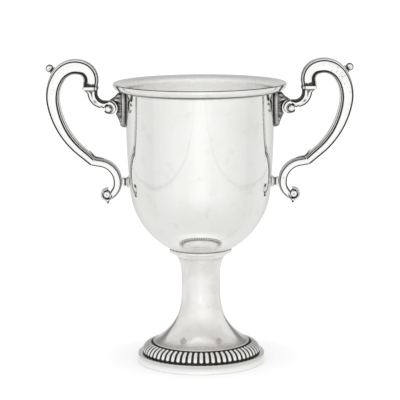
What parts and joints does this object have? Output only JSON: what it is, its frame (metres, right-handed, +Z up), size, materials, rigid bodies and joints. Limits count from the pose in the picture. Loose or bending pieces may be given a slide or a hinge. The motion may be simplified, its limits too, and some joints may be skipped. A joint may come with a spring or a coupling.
{
  "type": "trophy cup",
  "caption": "Silver two-handled presentation cup: a deep raised bowl with an everted lip on a trumpet pedestal with a gadrooned foot, and cast scroll handles.",
  "frame": {"origin": "on the cup's axis, at the plane that the foot band stands on", "axes": "+Z up along the cup's axis; +X towards the right handle and -X towards the left one; -Y towards the front seen in the picture"},
  "size_m": [0.2592, 0.1466, 0.2603],
  "materials": {
    "body_silver": "polished sterling silver with fine wear and light tarnish",
    "cast_silver": "polished cast silver, slightly pitted, dark in its recesses",
    "oxidised_silver": "cast silver left oxidised between its ribs"
  },
  "bodies": {
    "root": {"bowl": "body_silver", "rim_moulding": "body_silver", "stem_collar": "body_silver", "pedestal": "body_silver", "gadroon_band": "body_silver", "foot_band": "body_silver", "right_escutcheon": "oxidised_silver", "left_escutcheon": "oxidised_silver", "right_upper_arm": "cast_silver", "left_upper_arm": "cast_silver", "right_arm_bead": "cast_silver", "left_arm_bead": "cast_silver", "right_scroll_collar": "cast_silver", "left_scroll_collar": "cast_silver", "right_main_scroll": "cast_silver", "left_main_scroll": "cast_silver", "right_thumb_bead": "cast_silver", "left_thumb_bead": "cast_silver", "right_tail_scroll": "cast_silver", "left_tail_scroll": "cast_silver", "right_volute_bead": "cast_silver", "left_volute_bead": "cast_silver", "right_lower_strut": "cast_silver", "left_lower_strut": "cast_silver"}
  },
  "joints": []
}
